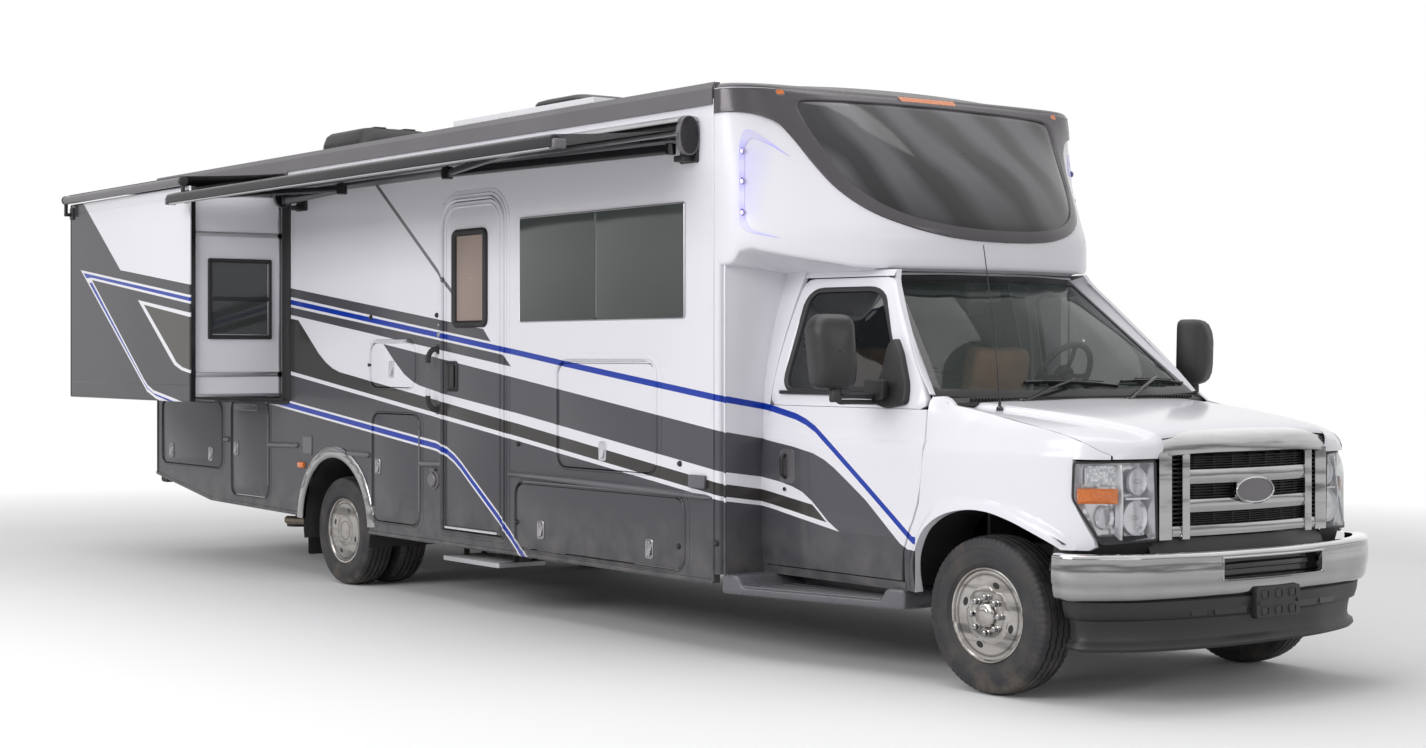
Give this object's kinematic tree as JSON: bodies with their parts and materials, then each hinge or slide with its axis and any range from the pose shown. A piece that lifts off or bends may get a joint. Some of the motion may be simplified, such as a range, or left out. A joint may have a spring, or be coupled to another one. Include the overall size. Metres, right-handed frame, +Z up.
{
  "type": "motorhome",
  "caption": "Class C motorhome on a van cutaway cab: box house with over-cab cap, side slide-outs, roof-edge awning, twin rear wheels and opening doors.",
  "frame": {"origin": "on the ground under the middle of the part's bounding box", "axes": "+Z up, -Y to the front, -X to the passenger side"},
  "size_m": [3.684, 9.61, 3.3049],
  "materials": {
    "white_gelcoat": "gloss",
    "body_paint": "gloss",
    "grey_trim": "satin",
    "black_plastic": "satin",
    "chrome": "polished",
    "polished_wheel": "polished",
    "tyre": "matte",
    "chassis_steel": "satin",
    "cast": "rough",
    "tinted_glass": "gloss",
    "clear_glass": "gloss",
    "lamp": "gloss",
    "awning_cloth": "matte",
    "seat_cloth": "matte",
    "aluminium": "satin",
    "roof_white": "matte",
    "interior_plastic": "matte"
  },
  "bodies": {
    "vehicle": {"chassis_frame": "chassis_steel", "engine_block": "cast", "front_axle": "cast", "rear_axle": "cast", "levelling_jacks": "chassis_steel", "tanks": "black_plastic", "exhaust": "aluminium", "house_floor": "chassis_steel", "right_wall": "white_gelcoat", "left_wall": "white_gelcoat", "rear_wall": "white_gelcoat", "roof": "roof_white", "roof_rails": "grey_trim", "house_windows": "tinted_glass", "topper_fabric": "awning_cloth", "front_cap": "white_gelcoat", "cap_window": "tinted_glass", "cab_shell": "body_paint", "windshield": "clear_glass", "lamps": "lamp", "grille": "chrome", "front_bumper": "chrome", "valance": "black_plastic", "dashboard": "interior_plastic", "cab_seats": "seat_cloth", "steps": "grey_trim", "roof_units": "black_plastic", "awning_case": "grey_trim", "awning_frame": "black_plastic", "awning_fabric": "awning_cloth", "rear_bumper": "chassis_steel"},
    "steering_knuckle_right": {"knuckle_right": "cast"},
    "front_wheel_right": {"front_tyre_right": "tyre", "front_rim_right": "polished_wheel"},
    "rear_wheels_right": {"rear_tyres_right": "tyre", "rear_rims_right": "polished_wheel"},
    "cab_side_door_right": {"cab_door_right": "body_paint", "cab_door_glass_right": "clear_glass", "door_mirror_right": "black_plastic"},
    "steering_knuckle_left": {"knuckle_left": "cast"},
    "front_wheel_left": {"front_tyre_left": "tyre", "front_rim_left": "polished_wheel"},
    "rear_wheels_left": {"rear_tyres_left": "tyre", "rear_rims_left": "polished_wheel"},
    "cab_side_door_left": {"cab_door_left": "body_paint", "cab_door_glass_left": "clear_glass", "door_mirror_left": "black_plastic"},
    "entry_door_leaf": {"entry_door": "white_gelcoat"},
    "hood_panel": {"hood": "body_paint"},
    "baggage_door_rear_leaf": {"baggage_door_rear": "white_gelcoat"},
    "baggage_door_tall_leaf": {"baggage_door_tall": "white_gelcoat"},
    "baggage_door_mid_leaf": {"baggage_door_mid": "white_gelcoat"},
    "baggage_door_long_leaf": {"baggage_door_long": "white_gelcoat"},
    "access_door_leaf": {"access_door": "white_gelcoat"},
    "service_door_leaf": {"service_door": "white_gelcoat"},
    "baggage_door_left_leaf": {"baggage_door_left": "white_gelcoat"},
    "slide_room_right": {"slide_out_right": "white_gelcoat", "topper_roller_right": "aluminium"},
    "slide_room_left": {"slide_out_left": "white_gelcoat", "topper_roller_left": "aluminium"}
  },
  "joints": [
    {"name": "steer_left", "type": "hinge", "parent": "vehicle", "child": "steering_knuckle_left", "pos_m": [1.102, -3.955, 0.366], "axis": [0, 0, 1], "range_deg": [-32, 32]},
    {"name": "steer_right", "type": "hinge", "parent": "vehicle", "child": "steering_knuckle_right", "pos_m": [-0.338, -3.955, 0.366], "axis": [0, 0, 1], "range_deg": [-32, 32]},
    {"name": "front_spin_right", "type": "hinge", "parent": "steering_knuckle_right", "child": "front_wheel_right", "pos_m": [-0.503, -3.955, 0.366], "axis": [1, 0, 0], "continuous": true},
    {"name": "rear_spin_right", "type": "hinge", "parent": "vehicle", "child": "rear_wheels_right", "pos_m": [-0.743, 1.709, 0.366], "axis": [1, 0, 0], "continuous": true},
    {"name": "cab_door_swing_right", "type": "hinge", "parent": "vehicle", "child": "cab_side_door_right", "pos_m": [-0.623, -3.583, 0.9], "axis": [0, 0, 1], "range_deg": [0, 65]},
    {"name": "front_spin_left", "type": "hinge", "parent": "steering_knuckle_left", "child": "front_wheel_left", "pos_m": [1.267, -3.955, 0.366], "axis": [1, 0, 0], "continuous": true},
    {"name": "rear_spin_left", "type": "hinge", "parent": "vehicle", "child": "rear_wheels_left", "pos_m": [1.507, 1.709, 0.366], "axis": [1, 0, 0], "continuous": true},
    {"name": "cab_door_swing_left", "type": "hinge", "parent": "vehicle", "child": "cab_side_door_left", "pos_m": [1.387, -3.583, 0.9], "axis": [0, 0, -1], "range_deg": [0, 65]},
    {"name": "entry_door_swing", "type": "hinge", "parent": "vehicle", "child": "entry_door_leaf", "pos_m": [-0.901, -0.372, 1.5], "axis": [0, 0, 1], "range_deg": [0, 90]},
    {"name": "hood_lift", "type": "hinge", "parent": "vehicle", "child": "hood_panel", "pos_m": [0.382, -3.726, 1.338], "axis": [-1, 0, 0], "range_deg": [0, 50]},
    {"name": "baggage_door_rear_lift", "type": "hinge", "parent": "vehicle", "child": "baggage_door_rear_leaf", "pos_m": [-0.901, 4.0155, 1.202], "axis": [0, 1, 0], "range_deg": [0, 88]},
    {"name": "baggage_door_tall_swing", "type": "hinge", "parent": "vehicle", "child": "baggage_door_tall_leaf", "pos_m": [-0.901, 2.715, 0.8785], "axis": [0, 0, 1], "range_deg": [0, 110]},
    {"name": "baggage_door_mid_swing", "type": "hinge", "parent": "vehicle", "child": "baggage_door_mid_leaf", "pos_m": [-0.901, 0.601, 0.827], "axis": [0, 0, 1], "range_deg": [0, 110]},
    {"name": "baggage_door_long_lift", "type": "hinge", "parent": "vehicle", "child": "baggage_door_long_leaf", "pos_m": [-0.901, -1.3105, 0.806], "axis": [0, 1, 0], "range_deg": [0, 90]},
    {"name": "access_door_lift", "type": "hinge", "parent": "vehicle", "child": "access_door_leaf", "pos_m": [-0.901, -1.407, 1.514], "axis": [0, 1, 0], "range_deg": [0, 90]},
    {"name": "service_door_lift", "type": "hinge", "parent": "vehicle", "child": "service_door_leaf", "pos_m": [-0.901, 0.933, 1.638], "axis": [0, 1, 0], "range_deg": [0, 90]},
    {"name": "baggage_door_left_lift", "type": "hinge", "parent": "vehicle", "child": "baggage_door_left_leaf", "pos_m": [1.665, -1.3105, 0.806], "axis": [0, -1, 0], "range_deg": [0, 90]},
    {"name": "slide_room_right_travel", "type": "slide", "parent": "vehicle", "child": "slide_room_right", "axis": [1, 0, 0], "range_m": [0, 0.7]},
    {"name": "slide_room_left_travel", "type": "slide", "parent": "vehicle", "child": "slide_room_left", "axis": [1, 0, 0], "range_m": [0, 0.54]}
  ],
  "couplings": [
    {"joint": "steer_right", "follows": "steer_left", "ratio": 1}
  ]
}
